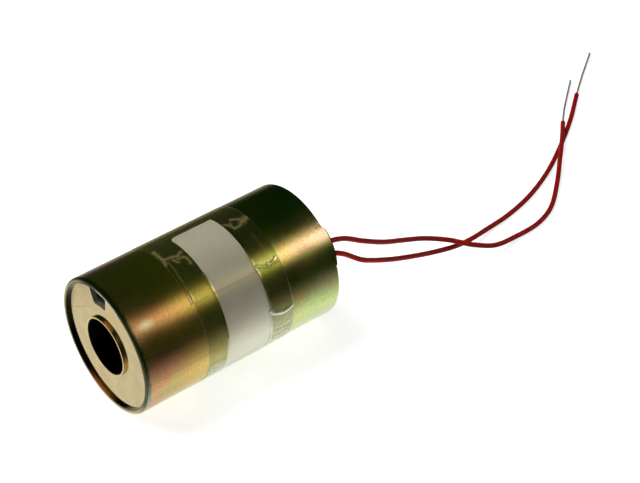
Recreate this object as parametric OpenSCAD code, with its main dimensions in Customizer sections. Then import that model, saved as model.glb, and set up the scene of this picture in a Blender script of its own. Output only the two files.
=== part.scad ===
// Tubular push-pull solenoid, lying on its side, with two loose leads.
// Z is up. Y runs along the bore, from the open front end to the rear end. X points to one side.
// The origin is on the surface, under the middle of the solenoid. Lengths are in millimetres and
// angles round the bore are in degrees from straight up, growing towards +X.

/* [Shell] */
// Outside diameter of the steel shell
shell_d = 31.75; // [29:0.25:38]
// Length over the two rolled rims
shell_len = 51; // [47:0.5:70]
// Wall of the shell between the end plates
shell_wall = 1.2; // [1:0.05:1.6]
// Step cut in the wall at each end, where an end plate seats
seat_step = 0.3; // [0.2:0.05:0.5]
// Rounding on the outside of each rim
rim_round = 0.55; // [0.4:0.05:1.2]
// How far each rim is rolled in over its end plate
rim_lap = 0.3; // [0.2:0.05:0.6]
// Rounding on the inner edge of each rolled rim
lip_round = 0.1; // [0.05:0.01:0.15]
// Height of the unrolled stretch of rim over the lead notch, at its crest
open_rim_h = 0.5; // [0.2:0.1:1]
// Angle that the unrolled stretch covers
open_rim_angle = 33; // [26:1:40]
// Length over which that stretch falls away from its crest to its far end
open_rim_fall = 5.5; // [4:0.5:6]
// How far the raised edge stops short of each end of that stretch
open_rim_inset = 0.3; // [0.2:0.05:0.4]
// Rounding on the corner at its near end
open_rim_round = 0.35; // [0.1:0.05:0.5]

/* [End plates] */
// Thickness of both end plates
plate_t = 1.2; // [0.8:0.1:2]
// Depth of each plate's face below the rim
plate_recess = 0.7; // [0.5:0.05:1]
// Radial clearance of a plate in its seat
plate_fit = 0.02; // [0.01:0.01:0.05]
// Depth of the lead notch in a plate's edge
notch_depth = 4.85; // [3.5:0.05:5.5]
// Angle that a lead notch covers
notch_angle = 25; // [20:1:26]
// Radius in the two inner corners of a lead notch
notch_corner = 0.8; // [0.4:0.1:1.2]
// Where the front notch is
front_notch_angle = -8.5; // [-30:0.5:30]
// Where the rear notch is, with the leads in it
rear_notch_angle = 54; // [52:0.5:56]

/* [Guide tube] */
// Diameter of the brass tube's bore
bore_d = 12.9; // [12.84:0.01:12.9]
// Wall of the guide tube
tube_wall = 0.5; // [0.3:0.05:0.8]
// How far the tube's collar stands out of the front plate
collar_proud = 0.6; // [0.3:0.05:0.7]
// Chamfer inside the tube's mouth
mouth_chamfer = 0.12; // [0.05:0.01:0.2]

/* [Plunger] */
// Diameter of the plunger
plunger_d = 12.7; // [12.7:0.01:12.76]
// Length of the plunger, with its cone
plunger_len = 31; // [26:0.5:34]
// Length of the conical nose
cone_len = 6; // [4:0.25:8]
// Diameter of the flat end of the nose
nose_d = 5.2; // [4.8:0.1:6]
// Flat shoulder round the cone's base
nose_shoulder = 0.3; // [0.1:0.05:0.5]
// Chamfer round the plunger's front face
plunger_chamfer = 0.4; // [0.2:0.05:0.8]
// Drilled diameter of the tapped hole for the link
link_hole_d = 4.04; // [3.3:0.02:5]
// Depth of the tapped hole
link_hole_len = 10; // [6:0.5:14]

/* [Push rod] */
// Diameter of the push rod
rod_d = 3.2; // [2.8:0.1:3.6]
// How far the rod's tip stands out past the rear rim
rod_proud = 5; // [2:0.5:7]
// Length of the rod that is fixed in the plunger
rod_hold = 8; // [5:0.5:12]
// Chamfer on the rod's tip
rod_chamfer = 0.3; // [0.1:0.05:0.6]
// Length of the rod's tip, past its groove for a retaining ring
tip_len = 4; // [3:0.25:6]
// Width of that groove
groove_w = 0.7; // [0.6:0.05:0.9]
// Depth of that groove
groove_depth = 0.35; // [0.2:0.05:0.5]

/* [Fixed core] */
// Length of the core between its front face and the rear plate
core_len = 15; // [13:0.5:18]
// Axial gap left between plunger and core when the plunger is home
pole_gap = 0.3; // [0.2:0.05:0.6]
// Diameter of the core's spigot through the rear plate
spigot_d = 9; // [8:0.25:10]
// How far the staked head overlaps the rear plate
stake_lap = 0.5; // [0.3:0.1:1]
// Thickness of the staked head
stake_t = 0.4; // [0.2:0.05:0.45]
// Close fit, on the radius, between pieces that are pressed or glued together
close_fit = 0.02; // [0.01:0.01:0.03]
// Wall of the rod's bush
bush_wall = 0.9; // [0.6:0.1:1.2]
// Length of core left between the conical hollow and the bush
bush_setback = 0.6; // [0.4:0.1:1.5]
// Running clearance, on the radius, between rod and bush
rod_clearance = 0.05; // [0.02:0.01:0.09]

/* [Coil] */
// Wall of the bobbin's barrel
barrel_wall = 0.7; // [0.5:0.05:1]
// Thickness of the bobbin's flanges
flange_t = 1; // [0.8:0.1:1.4]
// Radial gap between the flanges and the shell
flange_gap = 0.25; // [0.1:0.05:0.5]
// Ledge of flange that shows in a lead notch
notch_ledge = 0.8; // [0.3:0.1:1.2]
// Space for the leads between the wrapped winding and the shell
lead_space = 2.3; // [2:0.05:2.8]
// Thickness of the insulating wrap over the winding
wrap_t = 0.2; // [0.1:0.02:0.22]
// Free height of the wave washer behind the bobbin
wave_h = 0.7; // [0.5:0.1:1]
// Thickness of the wave washer's strip
wave_t = 0.3; // [0.2:0.05:0.4]
// Width of the wave washer's strip
wave_w = 2.4; // [1.5:0.1:2.6]
// Slack round the coil's loose pieces
slack = 0.15; // [0.05:0.01:0.2]

/* [Label and tape] */
// Distance from the front rim to the clear tape
tape_from = 15.6; // [12:0.1:18]
// Width of the clear tape
tape_w = 22.4; // [19:0.1:26]
// Thickness of one layer of tape
tape_t = 0.045; // [0.04:0.005:0.1]
// How far the second layer lies in front of the first
tape_skew = 0.7; // [0.2:0.1:1.2]
// Where the second layer starts
overlap_start_angle = -41; // [-80:1:-30]
// Angle that the second layer covers
overlap_angle = 86; // [60:1:100]
// Distance from the tape's front edge to the label
label_in = 5.4; // [2:0.1:6]
// Width of the label
label_w = 10.9; // [9:0.1:14]
// Thickness of the label
label_t = 0.05; // [0.04:0.005:0.1]
// Where the label starts
label_start_angle = -18; // [-40:1:0]
// Angle that the label covers
label_angle = 158; // [120:1:170]
// Radius of the label's corners
label_corner = 1.5; // [0.8:0.1:2]
// How far the tape stays raised past the label's sides
label_edge = 1; // [0.5:0.1:2]
// The same past the label's ends, as an angle
label_edge_angle = 4; // [2:0.5:6]

/* [Leads] */
// Diameter of a lead over its insulation
lead_d = 1.1; // [0.9:0.05:1.2]
// Diameter of the bare stranded conductor
strand_d = 0.45; // [0.3:0.05:0.6]
// Wall of the sleeves over the splices
sleeve_wall = 0.25; // [0.15:0.05:0.4]
// Length of a splice sleeve
sleeve_len = 12; // [8:0.5:14]
// Share of a splice sleeve that lies past the lead's end
sleeve_share = 0.7; // [0.5:0.05:0.8]
// Diameter of the coil's own wire where it leaves the winding
tail_d = 0.3; // [0.2:0.02:0.4]
// Length of lead inside the rear plate
lead_in = 9; // [7:0.5:12]
// How far lead A lies from the middle of the rear notch, round the bore
lead_a_angle = -3; // [-5:0.5:-2]
// How far lead B lies from the middle of the rear notch, round the bore
lead_b_angle = 8.5; // [3:0.5:9]

/* [Hidden] */
$fn = 96;

// Radii from the axis outwards
rod_r = rod_d / 2;
rod_hole_r = rod_r + close_fit;
bush_in_r = rod_r + rod_clearance;
bush_out_r = bush_in_r + bush_wall;
core_bore_r = bush_in_r + slack;            // the rod touches only its bush
plunger_r = plunger_d / 2;
bore_r = bore_d / 2;
core_r = bore_r - close_fit;
tube_r = bore_r + tube_wall;
bobbin_r = tube_r + close_fit;
barrel_r = bobbin_r + barrel_wall;
shell_r = shell_d / 2;
shell_in_r = shell_r - shell_wall;
wrap_r = shell_in_r - lead_space;
winding_r = wrap_r - wrap_t;
seat_r = shell_in_r + seat_step;
lip_r = seat_r - rim_lap;
rim_r = min(rim_round, shell_r - lip_r - lip_round);  // the two roundings meet at most
open_rim_w = 2 * shell_r * sin(open_rim_angle / 2);
seat_len = plate_recess + plate_t;
flange_r = shell_in_r - flange_gap;
plate_r = seat_r - plate_fit;
notch_floor_r = plate_r - notch_depth;
sleeve_in_r = lead_d / 2 + close_fit;
sleeve_r = sleeve_in_r + sleeve_wall;
splice_r = wrap_r + slack + sleeve_r;       // from the axis to the middle of a splice
label_r = shell_r + label_t;
tape_r = shell_r + tape_t;
axis_z = tape_r;                            // the tape rests on the surface

// Stations along the axis, from the front to the rear
front_y = -(shell_len + rod_proud) / 2;
rear_y = front_y + shell_len;
front_face_y = front_y + plate_recess;
front_inner_y = front_face_y + plate_t;
rear_face_y = rear_y - plate_recess;
rear_inner_y = rear_face_y - plate_t;
collar_y = front_face_y - collar_proud;
bobbin_end_y = rear_inner_y - wave_h;
winding_y = front_inner_y + flange_t;
winding_end_y = bobbin_end_y - flange_t;
core_y = rear_inner_y - core_len;
hollow_end_y = core_y + cone_len;           // flat bottom of the core's conical hollow
bush_y = hollow_end_y + bush_setback;
head_y = rear_face_y + stake_t;             // outer end of the core and its bush
cone_y = core_y - pole_gap;                 // base of the plunger's cone
nose_y = cone_y + cone_len;
plunger_y = nose_y - plunger_len;
tip_y = rear_y + rod_proud;
splice_y = rear_inner_y - lead_in;
tail_y = splice_y - sleeve_len;
tape_y = front_y + tape_from;
label_y = tape_y + label_in;

// Point on a lead inside the shell
function seat(angle, y) = let (a = rear_notch_angle + angle)
    [splice_r * sin(a), y, axis_z + splice_r * cos(a)];

// Routes of the leads: two points inside the shell, then the loose stretch, which lies on the
// surface where its height is 0.6
loose_a = [[10.5, 28, 23], [11.2, 33.5, 19.9], [10.6, 40, 15.8], [9.5, 47, 12], [9.1, 54, 8.6],
           [11, 60, 6.2], [14.5, 64.5, 4.7], [16, 70.5, 2.4], [15.3, 78, 0.7], [15, 85.5, 0.6],
           [12.5, 92.5, 0.6], [7, 100, 0.8], [0.5, 107.5, 1.7], [-5, 113.7, 1.8], [-10, 119, 1.3]];
loose_b = [[12.3, 26.3, 20.8], [13.8, 30.3, 18], [13.6, 34, 15.6], [12.8, 40.5, 11.9], [12, 47.5, 8.5],
           [11.4, 54.5, 5.6], [11.2, 61.5, 3.5], [10.4, 67.5, 2], [9.1, 74.5, 0.9], [8.1, 82.5, 0.6],
           [6, 91.5, 0.6], [2, 101.5, 0.6], [-3.5, 111.5, 0.6], [-10, 121.7, 0.6], [-17.3, 131.5, 0.6]];
route_a = concat([seat(lead_a_angle, splice_y), seat(lead_a_angle, rear_face_y)], loose_a);
route_b = concat([seat(lead_b_angle, splice_y), seat(lead_b_angle, rear_face_y)], loose_b);
bare_a = [[-10, 119, 1.3], [-14, 123.5, 0.9], [-18, 128.5, 0.6], [-23, 135, 0.6]];
bare_b = [[-17.3, 131.5, 0.6], [-23, 139.5, 0.5], [-29, 148.5, 0.5]];
lead_sides = 8;
rings_per_span = 2;

// Places its children on the axis at station y, with their +Z along the bore towards the rear
module on_axis(y) translate([0, y, axis_z]) rotate([-90, 0, 0]) children();

// Turns its children so that their +X points out at angle a round the bore
module facing(a) rotate([0, 0, a - 90]) children();

// Flat ring from radius r_in to radius r_out
module ring(r_out, r_in) {
    difference() {
        circle(r_out);
        circle(r_in);
    }
}

// Pie slice that is wider than radius r, from angle 0 to sweep
module slice(r, sweep) {
    steps = ceil(sweep / 45);
    reach = r / cos(sweep / steps / 2) + 1;
    rim = [for (k = [0:steps]) reach * [cos(k * sweep / steps), sin(k * sweep / steps)]];
    polygon(concat([[0, 0]], rim));
}

// Slice of a ring, starting at angle a round the bore
module ring_slice(r_out, r_in, a, sweep) {
    intersection() {
        ring(r_out, r_in);
        facing(a) slice(r_out, sweep);
    }
}

// Lead notch centred on angle a: straight radial sides, a round floor and rounded inner corners
module notch(a, floor_r, sweep) {
    corner_at = floor_r + notch_corner;
    inset = asin(notch_corner / corner_at);
    ring_slice(shell_r, corner_at, a - sweep / 2, sweep);
    ring_slice(shell_r, floor_r, a - sweep / 2 + inset, sweep - 2 * inset);
    for (side = [-1, 1])
        facing(a + side * (sweep / 2 - inset)) translate([corner_at, 0]) circle(notch_corner);
}

// Corner to cut off a section so that it is left with a rounded edge of radius r at [0, 0]
module round_off(r) {
    difference() {
        translate([-1, -1]) square(r + 1);
        translate([r, r]) circle(r);
    }
}

// Half section of one rolled rim, with the rim's edge at height 0
module rim_section() {
    difference() {
        translate([lip_r, 0]) square([shell_r - lip_r, plate_recess + plate_t]);
        translate([lip_r - 1, plate_recess]) square([seat_r - lip_r + 1, plate_t + 1]);
        translate([shell_r, 0]) mirror([1, 0]) round_off(rim_r);
        translate([lip_r, 0]) round_off(lip_round);
    }
}

// Unrolled stretch of rim laid flat, with its height over the plate's seat: the edge starts
// with a rounded corner, rises to its crest and falls away in one arc
module open_rim_face() {
    reach = open_rim_w / 2 - open_rim_inset;
    fall_r = (open_rim_fall * open_rim_fall + open_rim_h * open_rim_h) / (2 * open_rim_h);
    arc_y = seat_len + open_rim_h - fall_r;
    start_y = arc_y + sqrt(fall_r * fall_r - pow(2 * reach - open_rim_fall, 2));
    translate([-open_rim_w, 0]) square([2 * open_rim_w, seat_len]);
    difference() {
        intersection() {
            translate([-reach, seat_len / 2]) square([2 * open_rim_w, seat_len]);
            translate([reach - open_rim_fall, arc_y]) circle(fall_r);
        }
        translate([-reach, start_y]) mirror([0, 1]) round_off(open_rim_round);
    }
}

// Steel tube: rolled in over the plate at both ends, but left open over the lead notch
module housing_shell() {
    open_at = rear_notch_angle - open_rim_angle / 2;
    color([0.42, 0.39, 0.16]) on_axis(front_y) {
        translate([0, 0, seat_len]) linear_extrude(shell_len - 2 * seat_len) ring(shell_r, shell_in_r);
        rotate_extrude() rim_section();
        difference() {
            translate([0, 0, shell_len]) mirror([0, 0, 1]) rotate_extrude() rim_section();
            translate([0, 0, shell_len - seat_len])
                linear_extrude(seat_len + 1) facing(open_at) slice(shell_r, open_rim_angle);
        }
        translate([0, 0, shell_len - seat_len]) intersection() {
            linear_extrude(seat_len + open_rim_h) ring_slice(shell_r, seat_r, open_at, open_rim_angle);
            facing(rear_notch_angle) rotate([90, 0, 90]) linear_extrude(shell_r + 1) open_rim_face();
        }
    }
}

module end_plate(hole_r, notch_at) {
    linear_extrude(plate_t) difference() {
        ring(plate_r, hole_r);
        notch(notch_at, notch_floor_r, notch_angle);
    }
}

module front_end_plate() {
    color([0.73, 0.64, 0.4]) on_axis(front_face_y) end_plate(tube_r + close_fit, front_notch_angle);
}

module rear_end_plate() {
    color([0.73, 0.64, 0.4]) on_axis(rear_inner_y)
        end_plate(spigot_d / 2 + close_fit, rear_notch_angle);
}

// Brass tube that guides the plunger, held between the collar at the front and the rear plate
module guide_tube() {
    color([0.66, 0.53, 0.25]) on_axis(collar_y) difference() {
        linear_extrude(rear_inner_y - collar_y) ring(tube_r, bore_r);
        cylinder(h = mouth_chamfer, r1 = bore_r + mouth_chamfer, r2 = bore_r);
    }
}

// Moulded bobbin: a barrel between two flanges, each cut away behind its plate's lead notch
module bobbin() {
    flange_notch_r = notch_floor_r + notch_ledge;
    color([0.74, 0.77, 0.66]) on_axis(front_inner_y) {
        linear_extrude(bobbin_end_y - front_inner_y) ring(barrel_r, bobbin_r);
        linear_extrude(flange_t) difference() {
            ring(flange_r, bobbin_r);
            notch(front_notch_angle, flange_notch_r, notch_angle);
        }
        translate([0, 0, winding_end_y - front_inner_y]) linear_extrude(flange_t) difference() {
            ring(flange_r, bobbin_r);
            notch(rear_notch_angle, flange_notch_r, notch_angle);
        }
    }
}

module winding() {
    color([0.72, 0.36, 0.16]) on_axis(winding_y)
        linear_extrude(winding_end_y - winding_y) ring(winding_r, barrel_r);
}

// Insulating wrap over the winding, with a hole where each end of the wire comes out
module winding_wrap() {
    color([0.86, 0.72, 0.2]) difference() {
        on_axis(winding_y) linear_extrude(winding_end_y - winding_y) ring(wrap_r, winding_r);
        for (angle = [lead_a_angle, lead_b_angle])
            on_axis(tail_y) facing(rear_notch_angle + angle) rotate([0, 90, 0])
                translate([0, 0, barrel_r]) cylinder(h = splice_r - barrel_r, r = tail_d / 2 + close_fit);
    }
}

// End of the coil's wire: up through the wrap, then back along the coil to its splice
module tail(angle) {
    on_axis(tail_y) facing(rear_notch_angle + angle) {
        rotate([0, 90, 0])
            translate([0, 0, winding_r]) cylinder(h = splice_r - winding_r, r = tail_d / 2);
        translate([splice_r, 0, 0]) sphere(tail_d / 2);
        translate([splice_r, 0, 0]) cylinder(h = sleeve_len, r = tail_d / 2);
    }
}

module start_tail() {
    color([0.78, 0.45, 0.22]) tail(lead_a_angle);
}

module finish_tail() {
    color([0.78, 0.45, 0.22]) tail(lead_b_angle);
}

// Shrunk sleeve over a splice and over the lead's end
module splice_sleeve(angle) {
    color([0.12, 0.12, 0.13]) on_axis(splice_y - sleeve_len * sleeve_share)
        facing(rear_notch_angle + angle) translate([splice_r, 0, 0])
            linear_extrude(sleeve_len) ring(sleeve_r, sleeve_in_r);
}

module splice_sleeve_a() splice_sleeve(lead_a_angle);

module splice_sleeve_b() splice_sleeve(lead_b_angle);

// Closed skin through equal rings of points
module skin(rings) {
    n = len(rings[0]);
    last = len(rings) - 1;
    sides = [for (i = [0:last - 1]) for (k = [0:n - 1])
        [i * n + k, i * n + (k + 1) % n, (i + 1) * n + (k + 1) % n, (i + 1) * n + k]];
    caps = [[for (k = [n - 1:-1:0]) k], [for (k = [0:n - 1]) last * n + k]];
    polyhedron([for (r = rings) each r], concat(sides, caps));
}

// Three-wave spring washer: a flat strip whose height follows a sine round the bore
module wave_washer() {
    in_r = tube_r + slack;
    out_r = in_r + wave_w;
    swing = (wave_h - wave_t) / 2;
    steps = 72;
    strip = [for (k = [0:steps - 1]) let (a = 360 * k / steps, h = swing * (1 + sin(3 * a)))
        [for (c = [[in_r, h], [out_r, h], [out_r, h + wave_t], [in_r, h + wave_t]])
            [c[0] * cos(a), c[0] * sin(a), c[1]]]];
    faces = [for (i = [0:steps - 1]) for (k = [0:3])
        [i * 4 + k, i * 4 + (k + 1) % 4, ((i + 1) % steps) * 4 + (k + 1) % 4, ((i + 1) % steps) * 4 + k]];
    color([0.55, 0.56, 0.58]) on_axis(bobbin_end_y)
        polyhedron([for (s = strip) each s], [for (f = faces) [for (k = [3:-1:0]) f[k]]]);
}

// Steel pole piece: a conical hollow to meet the plunger, a bore for the rod, a staked spigot
module fixed_core() {
    hollow_r = plunger_r - nose_shoulder;
    color([0.6, 0.6, 0.6]) difference() {
        union() {
            on_axis(core_y) cylinder(h = core_len, r = core_r);
            on_axis(core_y) cylinder(h = head_y - core_y, r = spigot_d / 2);
            on_axis(rear_face_y) cylinder(h = stake_t, r = spigot_d / 2 + stake_lap);
        }
        on_axis(core_y) cylinder(h = cone_len, r1 = hollow_r, r2 = nose_d / 2);
        on_axis(core_y) cylinder(h = head_y - core_y, r = core_bore_r);
        on_axis(bush_y) cylinder(h = head_y - bush_y, r = bush_out_r);
    }
}

// Thin non-magnetic washer that keeps the plunger from sticking to the core
module pole_shim() {
    shim_t = pole_gap - close_fit;
    color([0.85, 0.72, 0.4]) on_axis(hollow_end_y - shim_t)
        linear_extrude(shim_t) ring(nose_d / 2 - close_fit, core_bore_r);
}

module rod_bush() {
    color([0.62, 0.45, 0.2]) on_axis(bush_y) linear_extrude(head_y - bush_y) ring(bush_out_r, bush_in_r);
}

// Steel plunger: chamfered front face with a tapped hole, conical nose with a hole for the rod
module plunger() {
    body_len = plunger_len - cone_len;
    color([0.7, 0.71, 0.72]) on_axis(plunger_y) difference() {
        union() {
            cylinder(h = plunger_chamfer, r1 = plunger_r - plunger_chamfer, r2 = plunger_r);
            translate([0, 0, plunger_chamfer]) cylinder(h = body_len - plunger_chamfer, r = plunger_r);
            translate([0, 0, body_len])
                cylinder(h = cone_len, r1 = plunger_r - nose_shoulder, r2 = nose_d / 2);
        }
        cylinder(h = link_hole_len, r = link_hole_d / 2);
        translate([0, 0, plunger_len - rod_hold]) cylinder(h = rod_hold, r = rod_hole_r);
    }
}

// Steel rod with a groove near its chamfered tip, where a retaining ring can go
module push_rod() {
    rod_y = nose_y - rod_hold;
    color([0.76, 0.77, 0.78]) difference() {
        union() {
            on_axis(rod_y) cylinder(h = tip_y - rod_y - rod_chamfer, r = rod_r);
            on_axis(tip_y - rod_chamfer) cylinder(h = rod_chamfer, r1 = rod_r, r2 = rod_r - rod_chamfer);
        }
        on_axis(tip_y - tip_len - groove_w) linear_extrude(groove_w) ring(rod_r + 1, rod_r - groove_depth);
    }
}

// Point at share t of the span that starts at point i, on a smooth curve through the whole route
function spline_point(p, i, t) = let (
        a = i == 0 ? 2 * p[0] - p[1] : p[i - 1],
        d = i + 2 > len(p) - 1 ? 2 * p[i + 1] - p[i] : p[i + 2])
    0.5 * (2 * p[i] + (p[i + 1] - a) * t + (2 * a - 5 * p[i] + 4 * p[i + 1] - d) * t * t
           + (3 * p[i] - a - 3 * p[i + 1] + d) * t * t * t);

function smooth(route) = concat(
    [for (i = [0:len(route) - 2]) for (k = [0:rings_per_span - 1]) spline_point(route, i, k / rings_per_span)],
    [route[len(route) - 1]]);

// Ring of points round point i of a path, square to the path
function tube_ring(path, i, r) = let (
        back = path[max(i - 1, 0)],
        ahead = path[min(i + 1, len(path) - 1)],
        along = (ahead - back) / norm(ahead - back),
        level = cross(along, [0, 0, 1]) / norm(cross(along, [0, 0, 1])),
        rise = cross(level, along))
    [for (k = [0:lead_sides - 1]) let (a = 360 * k / lead_sides)
        path[i] + r * (cos(a) * level + sin(a) * rise)];

module tube(path, d) {
    skin([for (i = [0:len(path) - 1]) tube_ring(path, i, d / 2)]);
}

module lead_a() {
    color([0.55, 0.1, 0.06]) tube(smooth(route_a), lead_d);
}

module lead_b() {
    color([0.55, 0.1, 0.06]) tube(smooth(route_b), lead_d);
}

module conductor_a() {
    color([0.66, 0.66, 0.66]) tube(bare_a, strand_d);
}

module conductor_b() {
    color([0.66, 0.66, 0.66]) tube(bare_b, strand_d);
}

// Paper label round the shell, with rounded corners at its visible end
module label() {
    color([0.87, 0.87, 0.84]) on_axis(label_y) difference() {
        linear_extrude(label_w) ring_slice(label_r, shell_r, label_start_angle, label_angle);
        facing(label_start_angle) for (far = [0, 1])
            translate([0, 0, far * label_w]) mirror([0, 0, far]) rotate([90, 0, 90])
                linear_extrude(label_r + 1) round_off(label_corner);
    }
}

// Clear tape right round the shell and over the label, with a second layer where its ends overlap
module clear_tape() {
    color([0.85, 0.82, 0.6, 0.5]) difference() {
        union() {
            on_axis(tape_y) linear_extrude(tape_w) ring(tape_r, shell_r);
            on_axis(tape_y - tape_skew) linear_extrude(tape_w)
                ring_slice(tape_r + tape_t, shell_r, overlap_start_angle, overlap_angle);
            on_axis(label_y - label_edge) linear_extrude(label_w + 2 * label_edge)
                ring_slice(label_r + tape_t, shell_r, label_start_angle - label_edge_angle,
                           label_angle + 2 * label_edge_angle);
        }
        label();
    }
}

housing_shell();
front_end_plate();
rear_end_plate();
guide_tube();
bobbin();
winding();
winding_wrap();
wave_washer();
fixed_core();
pole_shim();
rod_bush();
plunger();
push_rod();
start_tail();
finish_tail();
splice_sleeve_a();
splice_sleeve_b();
lead_a();
lead_b();
conductor_a();
conductor_b();
label();
clear_tape();
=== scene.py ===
import math

import bpy
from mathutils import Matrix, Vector, noise


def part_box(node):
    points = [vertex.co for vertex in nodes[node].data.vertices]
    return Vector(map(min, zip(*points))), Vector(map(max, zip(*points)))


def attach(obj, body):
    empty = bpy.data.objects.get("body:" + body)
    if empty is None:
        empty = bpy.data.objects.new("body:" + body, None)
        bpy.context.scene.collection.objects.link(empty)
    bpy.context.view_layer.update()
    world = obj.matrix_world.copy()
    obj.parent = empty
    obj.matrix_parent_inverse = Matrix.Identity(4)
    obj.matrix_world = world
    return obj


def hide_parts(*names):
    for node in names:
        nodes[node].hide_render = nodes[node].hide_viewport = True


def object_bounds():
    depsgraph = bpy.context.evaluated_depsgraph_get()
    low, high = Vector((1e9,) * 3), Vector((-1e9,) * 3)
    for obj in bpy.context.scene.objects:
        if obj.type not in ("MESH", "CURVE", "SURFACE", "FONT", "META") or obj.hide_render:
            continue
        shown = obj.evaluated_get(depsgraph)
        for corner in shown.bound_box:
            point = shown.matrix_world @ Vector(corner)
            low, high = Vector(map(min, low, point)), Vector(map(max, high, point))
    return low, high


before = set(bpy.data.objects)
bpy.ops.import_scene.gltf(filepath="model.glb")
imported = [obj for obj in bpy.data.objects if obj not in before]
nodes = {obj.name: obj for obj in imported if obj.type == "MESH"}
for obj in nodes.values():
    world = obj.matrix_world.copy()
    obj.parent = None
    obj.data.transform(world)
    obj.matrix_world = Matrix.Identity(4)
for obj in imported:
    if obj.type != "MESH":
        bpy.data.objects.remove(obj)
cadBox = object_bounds()
mm = 0.001
print("frame loaded:", len(nodes), "solids")


# Places that everything else is measured from, taken from the solids
shellLow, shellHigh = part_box("housing_shell")
rodLow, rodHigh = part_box("push_rod")
tapeLow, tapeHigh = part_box("clear_tape")
labelLow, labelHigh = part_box("label")
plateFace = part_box("front_end_plate")[0].y
axisZ = (rodLow.z + rodHigh.z) / 2
shellR = (shellHigh.x - shellLow.x) / 2
frontY = shellLow.y
shellLength = shellHigh.y - shellLow.y


# Point at an angle round the bore, from straight up and growing towards +X
def roundBore(angle, radius, y):
    return Vector((radius * math.sin(angle), y, axisZ + radius * math.cos(angle)))


# Camera
camera = {
    "place": (0.24107, -0.16514, 0.27226),
    "direction": (-0.59746, 0.48406, -0.63931),
    "focalLength": 100.36,
    "sensorWidth": 36,
}


def setUpCamera():
    data = bpy.data.cameras.new("studioCamera")
    data.lens = camera["focalLength"]
    data.sensor_width = camera["sensorWidth"]
    data.clip_start = 0.01
    data.clip_end = 20
    holder = bpy.data.objects.new("studioCamera", data)
    holder.location = camera["place"]
    holder.rotation_euler = Vector(camera["direction"]).to_track_quat("-Z", "Y").to_euler()
    bpy.context.scene.collection.objects.link(holder)
    bpy.context.scene.camera = holder


setUpCamera()
print("camera in place")


# Shader maths: a value in a node tree, with the operators that are used below
class Value:
    def __init__(self, tree, socket):
        self.tree = tree
        self.socket = socket

    def calc(self, operation, *others):
        sockets = dict(enumerate([self, *others]))
        return addNode(self.tree, "ShaderNodeMath", {"operation": operation}, sockets)

    def __add__(self, other):
        return self.calc("ADD", other)

    def __sub__(self, other):
        return self.calc("SUBTRACT", other)

    def __rsub__(self, other):
        return addNode(self.tree, "ShaderNodeMath", {"operation": "SUBTRACT"}, {0: other, 1: self})

    def __mul__(self, other):
        return self.calc("MULTIPLY", other)

    def __truediv__(self, other):
        return self.calc("DIVIDE", other)

    def clamped(self):
        return addNode(self.tree, "ShaderNodeMath", {"operation": "ADD", "use_clamp": True}, {0: self, 1: 0})

    __radd__ = __add__
    __rmul__ = __mul__


def addNode(tree, kind, settings=None, sockets=None, output=0):
    node = tree.nodes.new(kind)
    for name, setting in (settings or {}).items():
        if name == "stops":
            ramp = node.color_ramp
            while len(ramp.elements) < len(setting):
                ramp.elements.new(0.5)
            for element, (place, colour) in zip(ramp.elements, setting):
                element.position = place
                element.color = (*colour, 1)
        else:
            setattr(node, name, setting)
    for name, given in (sockets or {}).items():
        if isinstance(given, Value):
            tree.links.new(given.socket, node.inputs[name])
        else:
            node.inputs[name].default_value = given
    return Value(tree, node.outputs[output])


class Finish:
    def __init__(self, name):
        self.material = bpy.data.materials.new(name)
        self.material.use_nodes = True
        self.tree = self.material.node_tree
        self.tree.nodes.clear()
        self.place = self.add("ShaderNodeTexCoord", output="Object")
        parts = self.tree.nodes.new("ShaderNodeSeparateXYZ")
        self.tree.links.new(self.place.socket, parts.inputs[0])
        self.x, self.y, self.z = [Value(self.tree, part) for part in parts.outputs]
        self.up = self.z - axisZ  # height over the bore's axis

    def add(self, kind, settings=None, sockets=None, output=0):
        return addNode(self.tree, kind, settings, sockets, output)

    def angle(self):
        return self.x.calc("ARCTAN2", self.up)

    def radius(self):
        return reach(self.x, self.up)

    def grain(self, scale, detail=3, stretch=(1, 1, 1), roughness=0.5, distortion=0):
        scaled = self.add("ShaderNodeVectorMath", {"operation": "MULTIPLY"}, {0: self.place, 1: stretch})
        return self.add("ShaderNodeTexNoise", None,
                        {"Vector": scaled, "Scale": scale, "Detail": detail, "Roughness": roughness,
                         "Distortion": distortion})

    def smooth(self, value, low, high, fromValue=0, toValue=1):
        return self.add("ShaderNodeMapRange", {"interpolation_type": "SMOOTHSTEP"},
                        {"Value": value, "From Min": low, "From Max": high, "To Min": fromValue,
                         "To Max": toValue})

    # 1 from full to falling, and 0 outside low and high
    def between(self, value, low, full, falling, high):
        return self.smooth(value, low, full) * self.smooth(value, falling, high, 1, 0)

    def ramp(self, value, stops):
        return self.add("ShaderNodeValToRGB", {"stops": stops}, {"Fac": value})

    def blend(self, share, first, second, how="MIX"):
        return self.add("ShaderNodeMix", {"data_type": "RGBA", "blend_type": how},
                        {0: share, 6: colour(first), 7: colour(second)}, 2)

    def bump(self, height, distance, strength):
        return self.add("ShaderNodeBump", None,
                        {"Height": height, "Distance": distance, "Strength": strength})

    def surface(self, sockets):
        return self.add("ShaderNodeBsdfPrincipled", None,
                        {name: colour(given) for name, given in sockets.items()})

    def done(self, shader):
        output = self.tree.nodes.new("ShaderNodeOutputMaterial")
        self.tree.links.new(shader.socket, output.inputs["Surface"])
        return self.material


def colour(given):
    return (*given, 1) if isinstance(given, tuple) and len(given) == 3 else given


def reach(first, second):
    return (first * first + second * second).calc("SQRT")


def meshPiece(name, vertices, faces, *finishes):
    data = bpy.data.meshes.new(name)
    data.from_pydata([tuple(v) for v in vertices], [], faces)
    data.validate()
    for face in data.polygons:
        face.use_smooth = True
    for finish in finishes:
        data.materials.append(finish)
    piece = bpy.data.objects.new(name, data)
    bpy.context.scene.collection.objects.link(piece)
    return piece


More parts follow.
